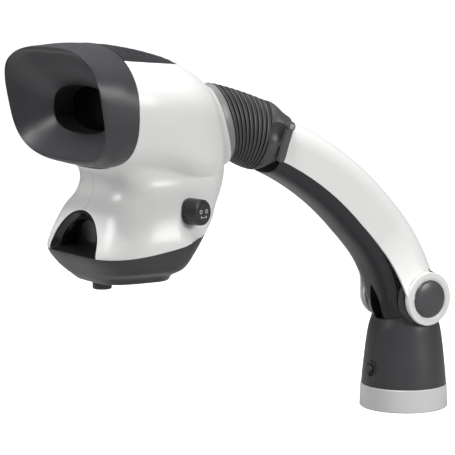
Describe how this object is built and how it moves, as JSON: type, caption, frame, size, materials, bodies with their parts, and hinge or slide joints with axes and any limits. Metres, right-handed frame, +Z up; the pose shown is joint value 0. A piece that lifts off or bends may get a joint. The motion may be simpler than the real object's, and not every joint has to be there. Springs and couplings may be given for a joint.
{
  "type": "stereo microscope",
  "caption": "Bench stereo microscope: hooded viewing head on a bellows-covered tilt joint, carried by a curved balanced arm on a swivel base.",
  "frame": {"origin": "centre of the base ring's underside, in the plane of its bolting face", "axes": "+Z up along the swivel axis; the arm lies in the plane X = 0 and reaches towards -Y, where the user sits; +X is the user's right"},
  "size_m": [0.202, 0.5048, 0.4216],
  "materials": {
    "pale_shell": "satin",
    "dark_shell": "satin",
    "pale_ring": "satin",
    "dark_metal": "satin",
    "bellows_rubber": "matte",
    "cast_metal": "satin",
    "steel": "satin",
    "bronze": "satin",
    "washer_plastic": "matte",
    "optic_glass": "polished",
    "mirror_face": "polished"
  },
  "bodies": {
    "mount": {"mount_ring": "pale_ring", "thrust_washer": "washer_plastic"},
    "swivel_base": {"swivel_spindle": "steel", "spindle_circlip": "steel", "base_shell_left": "dark_shell", "base_shell_right": "dark_shell", "base_screws": "steel", "pivot_bushes": "bronze", "button_bezel": "dark_shell", "button_spring": "steel"},
    "lock_button": {"lock_button": "dark_shell"},
    "arm": {"pivot_axle": "steel", "arm_beam": "cast_metal", "balance_spring": "steel", "arm_top_cover": "pale_shell", "arm_lower_cover": "dark_shell", "pivot_cap_left": "dark_shell", "pivot_cap_right": "dark_shell", "neck_block": "dark_metal", "tilt_axle": "steel", "clamp_nut": "steel", "bellows": "bellows_rubber"},
    "clamp": {"clamp_lever": "dark_metal", "clamp_stud": "steel"},
    "head": {"neck_ring": "dark_metal", "tilt_fork": "cast_metal", "friction_washers": "bronze", "head_shell_left": "pale_shell", "head_shell_right": "pale_shell", "head_screws": "steel", "hood": "dark_shell", "vent_panel": "dark_shell", "arch_frame": "dark_shell", "skirt": "dark_shell", "bottom_cover": "dark_shell", "head_chassis": "cast_metal", "viewing_lens": "optic_glass", "fold_mirror": "mirror_face", "relay_mirror": "mirror_face", "lamp_ring": "washer_plastic", "knob_bush": "bronze", "turret_shaft": "steel"},
    "turret": {"turret_disc": "dark_metal", "objective_barrels": "dark_metal", "objective_lenses": "optic_glass"},
    "eye_knob": {"ipd_knob": "dark_shell", "knob_shaft": "steel"},
    "pupil_drive": {"pupil_screw": "steel"},
    "carriage_left": {"pupil_carriage_left": "cast_metal", "pupil_mirror_left": "mirror_face"},
    "carriage_right": {"pupil_carriage_right": "cast_metal", "pupil_mirror_right": "mirror_face"}
  },
  "joints": [
    {"name": "swivel", "type": "hinge", "parent": "mount", "child": "swivel_base", "pos_m": [0, 0, 0], "axis": [0, 0, 1], "range_deg": [-170, 170]},
    {"name": "lock_press", "type": "slide", "parent": "swivel_base", "child": "lock_button", "axis": [0, 1, 0], "range_m": [0, 0.003], "stiffness_N_per_m": 300, "springref_m": -0.001},
    {"name": "arm_pivot", "type": "hinge", "parent": "swivel_base", "child": "arm", "pos_m": [0, 0, 0.128], "axis": [1, 0, 0], "range_deg": [-25, 12]},
    {"name": "clamp_turn", "type": "hinge", "parent": "arm", "child": "clamp", "pos_m": [0, -0.1806, 0.3284], "axis": [1, 0, 0], "range_deg": [0, 70]},
    {"name": "head_tilt", "type": "hinge", "parent": "arm", "child": "head", "pos_m": [0, -0.2275, 0.325], "axis": [1, 0, 0], "range_deg": [-25, 8], "deforming": ["bellows"]},
    {"name": "lens_index", "type": "hinge", "parent": "head", "child": "turret", "pos_m": [0, -0.3645, 0.183], "axis": [0, 0, 1], "continuous": true},
    {"name": "eye_distance", "type": "hinge", "parent": "head", "child": "eye_knob", "pos_m": [0.07, -0.3275, 0.251], "axis": [0.9397, 0.342, 0], "range_deg": [-200, 200]},
    {"name": "drive_turn", "type": "hinge", "parent": "head", "child": "pupil_drive", "pos_m": [0, -0.33332, 0.251], "axis": [1, 0, 0], "range_deg": [-201, 201]},
    {"name": "carriage_left_slide", "type": "slide", "parent": "head", "child": "carriage_left", "axis": [1, 0, 0], "range_m": [-0.0035, 0.0035]},
    {"name": "carriage_right_slide", "type": "slide", "parent": "head", "child": "carriage_right", "axis": [1, 0, 0], "range_m": [-0.0035, 0.0035]}
  ],
  "couplings": [
    {"joint": "drive_turn", "follows": "eye_distance", "ratio": 1},
    {"joint": "carriage_left_slide", "follows": "eye_distance", "m_per_rad": -0.000955},
    {"joint": "carriage_right_slide", "follows": "eye_distance", "m_per_rad": 0.000955}
  ]
}
